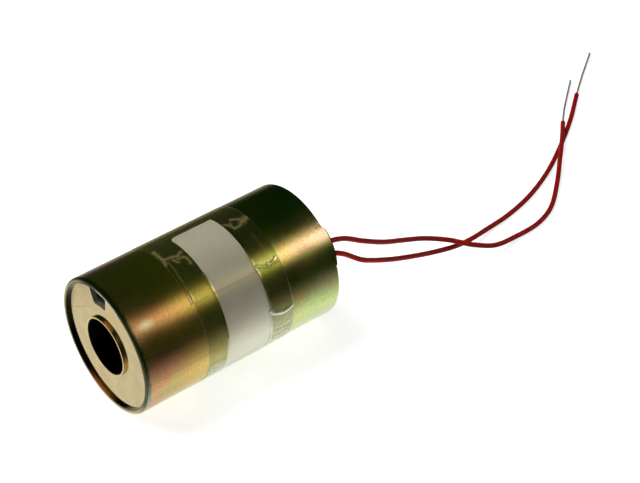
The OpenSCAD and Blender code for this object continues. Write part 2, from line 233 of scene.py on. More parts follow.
# Leads: the same routes as the solids', in metres
leads = {
    "diameter": 1.2 * mm,
    "strandedDiameter": 0.56 * mm,
    "lift": 0.06 * mm,
    "unevenness": 0.012,
    "strands": 7,
    "strandSides": 8,
    "twistPitch": 3.6 * mm,
    "stagger": 0.012,  # share of the bare end by which some strands stop short
    "frayLength": 1.2 * mm,
    "fray": 0.35,
    "insulation": [(0.3, (0.36, 0.006, 0.003)), (0.55, (0.45, 0.009, 0.005)), (0.75, (0.54, 0.016, 0.009))],
    "tin": [(0.3, (0.42, 0.42, 0.35)), (0.6, (0.72, 0.71, 0.62)), (0.8, (0.85, 0.83, 0.74))],
    "steps": {"root": 12, "loose": 10, "bareA": 40, "bareB": 60},
    "spliceRadius": 13.345 * mm,
    "rootY": (12.1 * mm, 22.3 * mm),
    "rootAngle": {"A": 51, "B": 62.5},
    "looseA": [(10.5, 28, 23), (11.2, 33.5, 19.9), (10.6, 40, 15.8), (9.5, 47, 12), (9.1, 54, 8.6),
               (11, 60, 6.2), (14.5, 64.5, 4.7), (16, 70.5, 2.4), (15.3, 78, 0.7), (15, 85.5, 0.6),
               (12.5, 92.5, 0.6), (7, 100, 0.8), (0.5, 107.5, 1.7), (-5, 113.7, 1.8), (-10, 119, 1.3)],
    "looseB": [(12.3, 26.3, 20.8), (13.8, 30.3, 18), (13.6, 34, 15.6), (12.8, 40.5, 11.9),
               (12, 47.5, 8.5), (11.4, 54.5, 5.6), (11.2, 61.5, 3.5), (10.4, 67.5, 2), (9.1, 74.5, 0.9),
               (8.1, 82.5, 0.6), (6, 91.5, 0.6), (2, 101.5, 0.6), (-3.5, 111.5, 0.6), (-10, 121.7, 0.6),
               (-17.3, 131.5, 0.6)],
    "bareA": [(-10, 119, 1.3), (-14, 123.5, 0.9), (-18, 128.5, 0.6), (-23, 135, 0.6)],
    "bareB": [(-17.3, 131.5, 0.6), (-23, 139.5, 0.5), (-29, 148.5, 0.5)],
}


def smoothRoute(points, perSpan, start=0):
    made = []
    for i in range(start, len(points) - 1):
        p, q = points[i], points[i + 1]
        before = points[i - 1] if i else 2 * p - q
        after = points[i + 2] if i + 2 < len(points) else 2 * q - p
        for k in range(perSpan):
            t = k / perSpan
            made.append(0.5 * (2 * p + (q - before) * t + (2 * before - 5 * p + 4 * q - after) * t * t
                               + (3 * p - before - 3 * q + after) * t ** 3))
    return made + [points[-1]]


def routeLength(points):
    return sum((q - p).length for p, q in zip(points, points[1:]))


def leadCurve(name, points, finish):
    data = bpy.data.curves.new(name, "CURVE")
    data.dimensions = "3D"
    data.bevel_depth = leads["diameter"] / 2
    data.bevel_resolution = 6
    data.use_fill_caps = True
    spline = data.splines.new("POLY")
    spline.points.add(len(points) - 1)
    for slot, p in zip(spline.points, points):
        slot.co = (*p, 1)
        slot.radius = 1 + leads["unevenness"] * noise.noise(Vector(p) * 300)
    data.materials.append(finish)
    piece = bpy.data.objects.new(name, data)
    bpy.context.scene.collection.objects.link(piece)
    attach(piece, "housing")
    return piece


def strandedMesh(name, points, finish):
    strandR = leads["strandedDiameter"] / 6
    sides, strands = leads["strandSides"], leads["strands"]
    along = [(b - a).normalized() for a, b in zip(points, points[1:])]
    along.append(along[-1])
    across = along[0].orthogonal().normalized()
    frames = []
    for t in along:
        across = (across - t * across.dot(t)).normalized()
        frames.append((t, across, t.cross(across)))
    travelled = [0.0]
    for a, b in zip(points, points[1:]):
        travelled.append(travelled[-1] + (b - a).length)
    total = travelled[-1]
    vertices, faces = [], []
    for strand in range(strands):  # one in the middle and the rest twisted round it
        offset = 0 if strand == 0 else 2 * strandR
        phase = strand * math.tau / (strands - 1)
        end = total * (1 - leads["stagger"] * (strand % 3))
        first = len(vertices)
        count = 0
        for p, (t, u, v), s in zip(points, frames, travelled):
            if s > end + 1e-9:
                break
            turn = phase + math.tau * s / leads["twistPitch"]
            tip = max(0, (s - total + leads["frayLength"]) / leads["frayLength"])
            out = offset * (1 + leads["fray"] * tip * (strand % 2))
            centre = p + out * (math.cos(turn) * u + math.sin(turn) * v)
            for k in range(sides):
                a = math.tau * k / sides
                vertices.append(centre + strandR * (math.cos(a) * u + math.sin(a) * v))
            count += 1
        for i in range(count - 1):
            for k in range(sides):
                a, b = first + i * sides + k, first + i * sides + (k + 1) % sides
                faces.append((a, b, b + sides, a + sides))
        faces.append(tuple(first + k for k in reversed(range(sides))))
        faces.append(tuple(first + (count - 1) * sides + k for k in range(sides)))
    piece = meshPiece(name, vertices, faces, finish)
    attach(piece, "housing")
    return piece


def leadFinish():
    made = Finish("leadPvc")
    mottle = made.grain(900, 3)
    scuffs = made.grain(5200, 2)
    return made.done(made.surface({
        "Base Color": made.ramp(mottle, leads["insulation"]), "Specular IOR Level": 0.2,
        "Roughness": made.smooth(scuffs, 0.3, 0.7, 0.3, 0.42),
        "Normal": made.bump(scuffs, 0.02 * mm, 0.5)}))


def strandFinish():
    made = Finish("tinnedCopper")
    spots = made.grain(2500, 3)
    return made.done(made.surface({
        "Base Color": made.ramp(spots, leads["tin"]), "Metallic": 0.45,
        "Roughness": made.smooth(spots, 0.3, 0.7, 0.5, 0.35), "Normal": made.bump(spots, 0.01 * mm, 0.5)}))


def makeLeads():
    pvc, tinned = leadFinish(), strandFinish()
    steps = leads["steps"]
    lift = Vector((0, 0, leads["lift"]))
    for side in "AB":
        angle = math.radians(leads["rootAngle"][side])
        seats = [roundBore(angle, leads["spliceRadius"], y) for y in leads["rootY"]]
        route = seats + [Vector(p) * mm + lift for p in leads["loose" + side]]
        loose = smoothRoute(route, steps["loose"], 1)
        leadCurve("leadRoot" + side, smoothRoute(route, steps["root"])[:steps["root"] + 1], pvc)
        bare = smoothRoute([Vector(p) * mm + lift for p in leads["bare" + side]], steps["bare" + side])
        stranded = strandedMesh("conductor" + side, bare, tinned)
        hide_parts("conductor_" + side.lower())
        piece = leadCurve("lead" + side, loose, pvc)
        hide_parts("lead_" + side.lower())
        length = routeLength(loose)
        bareLength = routeLength(bare)
        print("lead", side, "is", round(length / mm, 1), "mm long, bare end", round(bareLength / mm, 1))


makeLeads()


# Steel with yellow chromate: the tint drifts along the shell and round it
chromate = {
    # The last stop, at the rear end, is paler partly as a painted highlight on the strip near the rear rim
    "tintAlong": [(0.0, (0.69, 0.39, 0.21)), (0.12, (0.8, 0.4, 0.18)), (0.26, (0.81, 0.56, 0.15)),
                  (0.55, (0.74, 0.6, 0.2)), (0.75, (0.79, 0.61, 0.21)), (1.0, (0.87, 0.74, 0.42))],
    # painted shade: the top of the shell made darker and greener, most towards the rear
    "darkTopShade": (0.36, 0.72, 0.32),
    # These greens, set by angle round the bore on the rear half, are painted: a shade green below the strip,
    # then reflection greens and a pale tone low on the side
    "paintedGreenShade": (0.42, 0.66, 0.15),
    "greenLowReflection": (0.76, 0.94, 0.36),
    "paleLowReflection": (0.78, 0.92, 0.52),
    "greenFilm": (0.4, 0.62, 0.17),
    "roseFilm": (0.84, 0.42, 0.29),
    # Lip tones: the right side's dark is part wear, part painted shade; the inner wall's dark is painted
    # shade; the orange is a painted reflection; the near-white is a painted highlight
    "lipWornShade": (0.065, 0.085, 0.025),
    "lipGold": (0.36, 0.31, 0.06),
    "lipWallShade": (0.03, 0.034, 0.012),
    "lipOrangeGlint": (0.5, 0.17, 0.02),
    "lipHighlight": (0.95, 0.94, 0.86),
    "bandDark": (0.085, 0.115, 0.05),
    "bandPale": (0.3, 0.36, 0.28),
    # painted shade for the shell's inside and for the edge over the rear notch
    "inside": (0.03, 0.03, 0.02),
    # a painted highlight: the pale spot where the strip's glint shows near the front rim
    "paintedGlint": (1.0, 0.93, 0.68),
    "bandWidth": 1.0 * mm,
    "roughness": 0.2,
    # Turns are angles round the bore in radians: where a tone comes in, and where it goes out
    "shadeTurn": (0.8, 0.95, 1.18, 1.34),
    "sideTurn": (1.3, 1.55),
    "paleReflectionTurn": (1.75, 2.1),
    "darkTopShadeTurn": (-0.6, -0.35, 0.22, 0.5),
    "lipHighlightTurn": (-0.14, 0.0, 0.35, 0.5),
    "rearEdgeTurn": (0.5, 0.56, 0.98, 1.1),
    "rearStretch": (0.55, 0.8),
    "spotPlace": (0.745, 4 * mm),
    "spotReach": 1.7 * mm,
    "orangeAcross": (-9.5 * mm, -4.5 * mm, -2.5 * mm, 3.5 * mm),
    "orangeUp": (-9.5 * mm, -13 * mm),
}


def chromateFinish():
    made = Finish("chromateSteel")
    drift = made.grain(45, 2)
    cloud = made.grain(150, 4)
    patch = made.grain(95, 3, (1, 0.6, 1))
    speck = made.grain(3400, 3)
    coarse = made.grain(1300, 3)
    lines = made.grain(420, 4, (0.3, 9, 0.3), 0.6)
    turn, radius, back = made.angle(), made.radius(), made.y - frontY
    along = back / shellLength + (drift - 0.5) * 0.16 + (cloud - 0.5) * 0.05
    tint = made.ramp(along.clamped(), chromate["tintAlong"])

    # Painted reflection tones on the rear half, by angle round the bore: a painted-shade green below the
    # strip, then green and pale tones lower on the side
    rearPart = made.smooth(along, *chromate["rearStretch"])
    sway = turn + (cloud - 0.5) * 0.25
    for share, tone in ((made.between(sway, *chromate["shadeTurn"]) * 0.85, "paintedGreenShade"),
                        (made.smooth(sway, *chromate["sideTurn"]), "greenLowReflection"),
                        (made.smooth(sway, *chromate["paleReflectionTurn"]), "paleLowReflection")):
        tint = made.blend(rearPart * share, tint, chromate[tone])

    # Green and rose clouds in the film, and painted shade over the top, darker and greener towards the rear
    tint = made.blend(made.smooth(patch, 0.5, 0.7) * 0.7, tint, chromate["greenFilm"])
    rose = made.smooth(patch, 0.5, 0.32) * (0.55 - rearPart * made.smooth(sway, 1.0, 1.3) * 0.45)
    tint = made.blend(rose, tint, chromate["roseFilm"])
    darkTopShade = made.between(turn, *chromate["darkTopShadeTurn"]) * made.smooth(along, 0.3, 0.75, 0.45, 1)
    tint = made.blend(darkTopShade, tint, chromate["darkTopShade"], "MULTIPLY")

    # A painted highlight spot on the strip near the front rim, and a band behind the front rim, dark on top
    # and paler low on the side
    spotTurn, spotBack = chromate["spotPlace"]
    spotAway = reach((turn - spotTurn) * shellR, (back - spotBack) * 0.6)
    tint = made.blend(made.smooth(spotAway, 0, chromate["spotReach"], 0.75, 0), tint, chromate["paintedGlint"])
    width = chromate["bandWidth"]
    # a band behind the front rim, its tone running from dark on top to paler low on the side
    behindRim = made.smooth(back + (coarse - 0.5) * 0.9 * mm, width * 0.5, width * 1.2, 1, 0)
    band = made.blend(made.smooth(turn, 1.3, 1.9), chromate["bandDark"], chromate["bandPale"])
    tint = made.blend(behindRim * 0.9, tint, band)

    # The rolled lip: a painted-shade dark inner wall with a painted orange reflection at its foot, the right
    # side dark, part wear and part painted shade, and a painted highlight along its inner edge
    rightSide = made.smooth(turn + (cloud - 0.5), -0.9, -0.3) * made.smooth(turn, 1.9, 2.4, 1, 0)
    inward = made.smooth(radius, shellR - 1.0 * mm, shellR - 0.75 * mm, 1, 0)
    # painted orange reflection at the foot of the lip's inner wall, made less metallic
    orangeGlint = made.smooth(made.up, *chromate["orangeUp"]) * made.between(made.x, *chromate["orangeAcross"])
    wall = made.blend(orangeGlint, chromate["lipWallShade"], chromate["lipOrangeGlint"])
    lip = made.blend(rightSide, chromate["lipGold"], chromate["lipWornShade"])
    lip = made.blend(inward * (1 - rightSide), lip, wall)
    onLip = (made.smooth(back, 0.65 * mm, 0.75 * mm, 1, 0)
             * made.smooth(back - inward * mm, 0.05 * mm, 0.3 * mm, 1, 0))
    tint = made.blend(onLip, tint, lip)
    # bare marks the painted pale highlight along the lip's inner edge, made less metallic so it shows light
    bare = (made.smooth(radius, shellR - 0.84 * mm, shellR - 0.76 * mm, 1, 0) * onLip
            * made.between(turn, *chromate["lipHighlightTurn"]))
    tint = made.blend(bare, tint, chromate["lipHighlight"])

    # Painted shade: dark inside the shell, and a dark edge over the rear notch
    rearEdgeShade = (made.smooth(back, shellLength - 0.28 * mm, shellLength - 0.18 * mm)
                * made.between(turn, *chromate["rearEdgeTurn"]))
    tint = made.blend(rearEdgeShade, tint, chromate["inside"])
    innerShade = (made.smooth(radius, shellR - 1.4 * mm, shellR - 1.0 * mm, 1, 0)
             * made.smooth(back, 0.9 * mm, 1.3 * mm))
    tint = made.blend(innerShade, tint, chromate["inside"])

    fleck = made.smooth(speck + (coarse - 0.5) * 0.5, 0.32, 0.62, 0.83, 1.0)
    tint = made.blend(1.0, tint, made.ramp(fleck, [(0, (0, 0, 0)), (1, (1, 1, 1))]), "MULTIPLY")
    rough = made.smooth(cloud, 0.3, 0.7, -0.03, 0.04) + rightSide * onLip * 0.3 + chromate["roughness"]
    return made.done(made.surface({
        "Base Color": tint, "Roughness": rough, "Normal": made.bump(lines, 0.005 * mm, 0.4),
        "Metallic": 1 - (bare * 0.8 + orangeGlint * onLip * inward * 0.7).clamped()}))


# End plates: the film's faint rings lie round one place on the front plate
plate = {
    "gold": (0.4, 0.31, 0.12),
    "pale": (0.46, 0.365, 0.16),
    "ring": (0.42, 0.26, 0.11),
    "stain": (0.46, 0.3, 0.07),
    "marginShade": (0.09, 0.11, 0.04),
    "cut": (0.28, 0.28, 0.2),
    "stainPlace": (3.8 * mm, 10.4 * mm),
    "ringCentre": (-8.8 * mm, 9.5 * mm),
    "ringPitch": 1.0 * mm,
    "ringReach": 4.9 * mm,
    "streakFrom": (-13.3 * mm, 1.8 * mm),
    "streakSlope": 0.72,
    "marginRadius": (12.4 * mm, 14.6 * mm),
    "notchRadius": (9 * mm, 9.3 * mm),
    "notchDepth": (0.04 * mm, 0.1 * mm, 4 * mm, 5 * mm),  # behind the front plate's face
    "roughness": 0.07,
}


def plateFinish():
    made = Finish("plateSteel")
    cloud = made.grain(220, 3)
    speck = made.grain(3000, 2)
    sway = made.grain(420, 2)
    radius = made.radius()
    centreX, centreZ = plate["ringCentre"]
    out = reach(made.x - centreX, made.up - centreZ) + (sway - 0.5) * 0.5 * mm
    wave = (out * (math.tau / plate["ringPitch"])).calc("SINE")
    fromX, fromZ = plate["streakFrom"]
    above = made.up - fromZ - (made.x - fromX) * plate["streakSlope"] + (sway - 0.5) * 0.4 * mm
    rings = (made.smooth(wave, 0.1, 1.0) * made.smooth(out, 0.2 * mm, plate["ringReach"])
             * made.smooth(made.x, -5.5 * mm, -3.5 * mm, 1, 0)
             * made.between(above, -0.2 * mm, 0.2 * mm, 4.5 * mm, 7 * mm))
    streak = (made.smooth(above.calc("ABSOLUTE"), 0.12 * mm, 0.42 * mm, 1, 0)
              * made.smooth(made.x, -6 * mm, -3.5 * mm, 1, 0))
    tint = made.blend(made.smooth(cloud, 0.35, 0.65), plate["gold"], plate["pale"])
    tint = made.blend((rings * 0.5 + streak).clamped(), tint, plate["ring"])
    stainX, stainZ = plate["stainPlace"]
    stainAway = reach(made.x - stainX, made.up - stainZ)
    swirl = made.smooth(made.grain(330, 2, distortion=2.5), 0.46, 0.62)
    tint = made.blend(swirl * made.smooth(stainAway, 1.4 * mm, 3.4 * mm, 0.7, 0), tint, plate["stain"])
    # painted shade along the plate's left margin, next to the rolled lip
    marginShade = made.smooth(radius, *plate["marginRadius"]) * made.smooth(made.x, 3 * mm, -3 * mm)
    tint = made.blend(marginShade * made.smooth(made.up, 9 * mm, 3 * mm), tint, plate["marginShade"])
    inNotch = (made.between(made.y, *[plateFace + depth for depth in plate["notchDepth"]])
               * made.smooth(radius, *plate["notchRadius"]))
    tint = made.blend(inNotch, tint, plate["cut"])
    return made.done(made.surface({
        "Base Color": tint, "Metallic": 1 - inNotch * 0.8,
        "Roughness": made.smooth(speck, 0.3, 0.7, plate["roughness"], plate["roughness"] + 0.05),
        "Normal": made.bump(sway + cloud * 2, 0.02 * mm, 0.35)}))


# Brass guide tube: bright outside and on its lip, painted black inside the bore as shade, with a painted
# orange reflection on the collar
guide = {
    "light": (0.62, 0.47, 0.2),
    "dark": (0.44, 0.3, 0.1),
    "orangeGlint": (0.7, 0.3, 0.06),
    "boreShade": (0.012, 0.012, 0.011),
    "boreRadius": (6.5 * mm, 6.56 * mm),
    "collarRadius": (6.75 * mm, 6.85 * mm),
    "orangeTurn": (-0.1, 0.12, 0.36, 0.52),
}


def guideFinish():
    made = Finish("guideBrass")
    cloud = made.grain(300, 3)
    lines = made.grain(1500, 2, (0.02, 1, 0.02))
    radius = made.radius()
    tint = made.blend(made.smooth(cloud + (lines - 0.5) * 0.5, 0.3, 0.7), guide["dark"], guide["light"])
    # painted shade: black inside the bore
    inside = made.smooth(radius + (cloud - 0.5) * 0.06 * mm, *guide["boreRadius"], 1, 0)
    tint = made.blend(inside, tint, guide["boreShade"])
    # painted orange reflection on the collar's outer wall, made less metallic
    turn = made.angle() + (cloud - 0.5) * 0.4
    orangeGlint = made.between(turn, *guide["orangeTurn"]) * made.smooth(radius, *guide["collarRadius"])
    tint = made.blend(orangeGlint, tint, guide["orangeGlint"])
    return made.done(made.surface({
        "Base Color": tint, "Metallic": 1 - orangeGlint * 0.6,
        "Roughness": made.smooth(lines, 0.3, 0.7, 0.16, 0.24) + inside * 0.35,
        "Normal": made.bump(lines + cloud, 0.005 * mm, 0.6)}))


# Turned and rolled metal: fine rings round the bore
def turnedFinish(name, light, dark, roughness):
    made = Finish(name)
    cloud = made.grain(300, 3)
    lines = made.grain(1500, 2, (0.02, 1, 0.02))
    speck = made.grain(4000, 2)
    return made.done(made.surface({
        "Base Color": made.blend(made.smooth(cloud + (lines - 0.5) * 0.5, 0.3, 0.7), dark, light),
        "Metallic": 1.0,
        "Roughness": made.smooth(speck + lines, 0.7, 1.3, roughness * 0.8, roughness * 1.25),
        "Normal": made.bump(lines + speck * 0.5, 0.004 * mm, 0.6)}))


def mouldedFinish(name, light, dark, roughness):
    made = Finish(name)
    cloud = made.grain(400, 3)
    fine = made.grain(5000, 2)
    return made.done(made.surface({
        "Base Color": made.blend(made.smooth(cloud, 0.3, 0.7), dark, light),
        "Roughness": made.smooth(fine, 0.3, 0.7, roughness * 0.85, roughness * 1.15),
        "Normal": made.bump(fine, 0.01 * mm, 0.5)}))


# Enamelled wire: its turns stand out as fine ridges across the bore
wire = {"dark": (0.55, 0.2, 0.06), "light": (0.7, 0.3, 0.1), "ridgeScale": 3333 / 6.28, "ridge": 0.08 * mm}


def windingFinish():
    made = Finish("magnetWire")
    turns = made.add("ShaderNodeTexWave", {"wave_type": "BANDS", "bands_direction": "Y"},
                     {"Vector": made.place, "Scale": wire["ridgeScale"], "Distortion": 0.4}, "Fac")
    cloud = made.grain(500, 3)
    return made.done(made.surface({
        "Base Color": made.blend(made.smooth(cloud, 0.3, 0.7), wire["dark"], wire["light"]),
        "Metallic": 1.0, "Roughness": 0.28, "Normal": made.bump(turns, wire["ridge"], 0.8)}))


# Label paper: painted shade grey across its middle, and painted light at its lower end
paper = {
    "dull": (0.88, 0.845, 0.7),
    "light": (0.94, 0.905, 0.76),
    "shadedMiddle": (0.79, 0.79, 0.79),
    "litLowEnd": (0.9, 0.89, 0.8),
    "shadedMiddleTurn": (0.6, 1.0, 1.25, 1.6),
    "litLowEndTurn": (1.5, 1.8),
}


def paperFinish():
    made = Finish("labelPaper")
    fibre = made.grain(1400, 5, roughness=0.65)
    cloud = made.grain(120, 2)
    tone = made.blend(made.smooth(fibre + cloud * 0.4, 0.45, 0.95), paper["dull"], paper["light"])
    turn = made.angle() + (cloud - 0.5) * 0.3
    # painted shade over the middle and painted light over the lower end, by angle round the bore
    tone = made.blend(made.between(turn, *paper["shadedMiddleTurn"]), tone, paper["shadedMiddle"], "MULTIPLY")
    tone = made.blend(made.smooth(turn, *paper["litLowEndTurn"]), tone, paper["litLowEnd"])
    return made.done(made.surface({
        "Base Color": tone, "Roughness": made.smooth(fibre, 0.3, 0.7, 0.5, 0.62),
        "Normal": made.bump(fibre, 0.012 * mm, 0.5)}))


# Tape film: clear over most of the shell, milky or glinting where air is trapped under it
film = {
    "overMetal": (0.765, 0.815, 0.63),
    "overPaper": (0.88, 0.87, 0.84),
    "air": (0.42, 0.28, 0.09),
    "airPale": (0.8, 0.82, 0.62),
    "glint": (0.95, 0.84, 0.36),
    "glintPale": (0.86, 0.92, 0.68),
    "clearShine": (0.09, 0.12),  # how much of the clear film reflects, seen straight on
    "edgeShine": 0.95,
    "paleReflectionTurn": (1.0, 1.4),  # beyond this turn the pale air and glint tones take over
    "gloss": 0.1,
}


def filmFinish():
    made = Finish("tapeFilm")
    cloud = made.grain(180, 3)
    speck = made.grain(2600, 3)
    air, glint, onPaper = [made.add("ShaderNodeAttribute", {"attribute_name": name}, None, "Fac")
                           for name in ("trappedAir", "glint", "overPaper")]
    air = (air * made.smooth(made.grain(1500, 3), 0.25, 0.7, 0.7, 1.2) + 0.006).clamped()
    facing = made.add("ShaderNodeLayerWeight", None, {"Blend": 0.5}, "Facing")
    overMetal, overPaper = [made.add("ShaderNodeBsdfTransparent", None, {"Color": colour(film[name])})
                            for name in ("overMetal", "overPaper")]
    clear = made.add("ShaderNodeMixShader", None, {0: onPaper, 1: overMetal, 2: overPaper})
    # painted reflection tones, by angle round the bore: yellow glints and brown air above, pale green below
    low = made.smooth(made.angle(), *film["paleReflectionTurn"])
    airColour = made.blend(low, film["air"], film["airPale"])
    glintColour = made.blend(low, film["glint"], film["glintPale"])
    share = (facing.calc("POWER", 4) * film["edgeShine"] + air * 1.5 + glint
             + made.smooth(cloud, 0.35, 0.7, *film["clearShine"])).clamped()
    milky = (air / (air + glint + 0.04)).clamped()
    rough = made.smooth(speck, 0.35, 0.65, film["gloss"], film["gloss"] + 0.06) + milky * 0.2
    shine = made.surface({
        "Base Color": made.blend(milky, glintColour, airColour), "Metallic": 1 - milky, "Roughness": rough,
        "Normal": made.bump(cloud, 0.06 * mm, 0.4)})
    return made.done(made.add("ShaderNodeMixShader", None, {0: share, 1: clear, 2: shine}))


# The film's own shader does both its layers, so its lower side lets everything through
def undersideFinish():
    made = Finish("tapeUnderside")
    return made.done(made.add("ShaderNodeBsdfTransparent", None, {"Color": (1, 1, 1, 1)}))


def dressSolids():
    looks = {
        "housing_shell": chromateFinish(),
        "front_end_plate": plateFinish(),
        "guide_tube": guideFinish(),
        # the bobbin and the coil wrap are painted dark, as shade inside the notch
        "bobbin": mouldedFinish("bobbinNylonShaded", (0.06, 0.07, 0.045), (0.04, 0.05, 0.03), 0.5),
        "winding": windingFinish(),
        "winding_wrap": mouldedFinish("coilWrapShaded", (0.22, 0.15, 0.03), (0.16, 0.11, 0.02), 0.3),
        "wave_washer": turnedFinish("springSteel", (0.45, 0.46, 0.48), (0.34, 0.35, 0.37), 0.3),
        "fixed_core": turnedFinish("coreSteel", (0.55, 0.55, 0.54), (0.42, 0.42, 0.41), 0.28),
        "pole_shim": turnedFinish("shimBrass", (0.8, 0.62, 0.28), (0.68, 0.5, 0.2), 0.22),
        "rod_bush": turnedFinish("bushBronze", (0.5, 0.31, 0.13), (0.36, 0.21, 0.08), 0.4),
        "plunger": turnedFinish("plungerSteel", (0.6, 0.6, 0.6), (0.46, 0.46, 0.47), 0.22),
        "push_rod": turnedFinish("rodSteel", (0.66, 0.67, 0.68), (0.54, 0.55, 0.56), 0.14),
        "splice_sleeve_a": mouldedFinish("sleevePlastic", (0.03, 0.03, 0.033), (0.018, 0.018, 0.02), 0.35),
        "label": paperFinish(),
    }
    looks["rear_end_plate"] = looks["front_end_plate"]
    looks["start_tail"] = looks["finish_tail"] = looks["winding"]
    looks["splice_sleeve_b"] = looks["splice_sleeve_a"]
    for name, finish in looks.items():
        for slot in nodes[name].material_slots:
            slot.material = finish
    print("finishes on", len(looks), "solids")


dressSolids()


# Clear tape, laid over the label, with a second layer where its ends overlap. Places on it are
# pairs of an angle round the bore, in degrees, and a station along the bore, in millimetres
tape = {
    "thickness": 0.045 * mm,
    "thinning": 0.014 * mm,
    "thinnest": 0.75,  # share of the thickness that the film keeps where its layers end
    "gap": 0.012 * mm,
    "ripple": 0.004 * mm,
    "mostGap": 0.2 * mm,
    "edgeWidth": 0.18 * mm,
    "labelThickness": 0.05 * mm,
    "skew": 0.7 * mm,
    "overlap": (-41, 45),
    "labelSpan": (-18, 140),
    "tent": 0.8 * mm,
    "step": 0.05 * mm,
    "pitch": 0.2 * mm,
    "fineSpan": (-24, 126),
}

# Where air is trapped: a line's places, its half width and its lift in mm, how milky it looks
# and how much it shines
airLines = [
    ([(6, -11.8), (14, -11.9), (23, -12.15), (30, -12.1), (36, -12.05), (41, -12.2)], 0.16, 0.02, 0.1, 0.12),
    ([(36, -12.1), (41, -12.2), (44, -12.6), (44.2, -12.95), (41, -13), (37, -12.95)], 0.2, 0.05, 0.1, 0.3),
    ([(-11, -12.3), (-4, -12.4), (2, -12.4), (6, -12.5), (8, -13)], 0.34, 0.02, 0.26, 0.02),
    ([(2, -12.4), (3.4, -10.3), (5, -9.2), (2.5, -7.9)], 0.34, 0.02, 0.26, 0.02),
    ([(5, -10.7), (9.5, -10.3), (10.5, -10)], 0.28, 0.02, 0.22, 0.02),
    ([(7.5, -9.7), (7.9, -8.3), (11, -7.9), (16, -8)], 0.3, 0.02, 0.22, 0.02),
    ([(-4.5, 6.6), (-1.8, 8), (1.9, 8.2), (5.4, 7), (5.8, 5.6), (2.4, 5.3), (-0.8, 5.7)],
     0.28, 0.02, 0.26, 0.02),
    ([(2.8, 8.1), (1.4, 9.1), (0.1, 9.9)], 0.65, 0.015, 0.26, 0.02),
    ([(2.4, 5.3), (-1, 4.9), (-3, 4.4)], 0.3, 0.02, 0.2, 0.02),
    ([(41.9, 4.3), (43.6, 5.3), (44.6, 6.1), (45.3, 7.3), (45, 8.6), (44.6, 9.7)], 0.3, 0.14, 0.02, 0.2),
    ([(43.6, 6.9), (44.4, 7.8), (43.6, 8.5), (42, 9.3)], 0.3, 0.08, 0.04, 0.9),
    ([(28, -7.15), (36, -7.1), (41.5, -7.1), (46.6, -7.1), (52, -7.2)], 0.2, 0.04, 0.04, 0.7),
    ([(28, 4.05), (33, 4.0), (40, 4.0), (45, 4.05), (49, 4.2), (56, 4.1)], 0.25, 0.05, 0.06, 0.7),
    ([(16, 7.8), (25, 7.9), (34, 7.95), (41, 8.2)], 0.14, 0.02, 0.06, 0.1),
    ([(79, 4), (80.5, 4.2), (83.2, 4.9), (85.9, 7.1), (85.4, 8.7), (83.5, 9.8)], 0.4, 0.16, 0.2, 0.8),
    ([(60, 4.1), (72, 4.05), (84, 4.0), (93, 4.0), (103, 4.15), (112, 4.3), (122, 4.2)],
     0.26, 0.05, 0.12, 0.5),
    ([(84, -7.3), (96, -7.35), (118, -7.4), (130, -7.3)], 0.28, 0.05, 0.12, 0.5),
    ([(98, 4.9), (99.5, 7), (98.5, 9.2)], 0.4, 0.05, 0.1, 0.12),
    ([(104, 4.6), (106, 6.2), (105, 7.8)], 0.35, 0.06, 0.12, 0.15),
]

# Broad patches of cloudy air: from and to angle, from and to station, and how milky they look
airPatches = [(86, 113, 4.2, 9.8, 0.16), (111, 139, 4.1, 9.8, 0.26), (104, 139, -12.2, -7.4, 0.2)]


def smoothstep(low, high, t):
    t = min(1, max(0, (t - low) / (high - low)))
    return t * t * (3 - 2 * t)


def gridLines(low, high, pitch, sharp):
    count = max(1, round((high - low) / pitch))
    places = [low + (high - low) * i / count for i in range(count + 1)]
    step = tape["step"]
    for edge in sharp:
        if low + step < edge < high - step:
            places = [place for place in places if abs(place - edge) > 1.5 * step]
            places += [edge - step, edge, edge + step]
    return sorted(places)


def lineDistance(path, s, y):
    nearest = 1.0
    for (s0, y0), (s1, y1) in zip(path, path[1:]):
        ds, dy = s1 - s0, y1 - y0
        t = min(1, max(0, ((s - s0) * ds + (y - y0) * dy) / (ds * ds + dy * dy)))
        nearest = min(nearest, math.hypot(s - s0 - t * ds, y - y0 - t * dy))
    return nearest


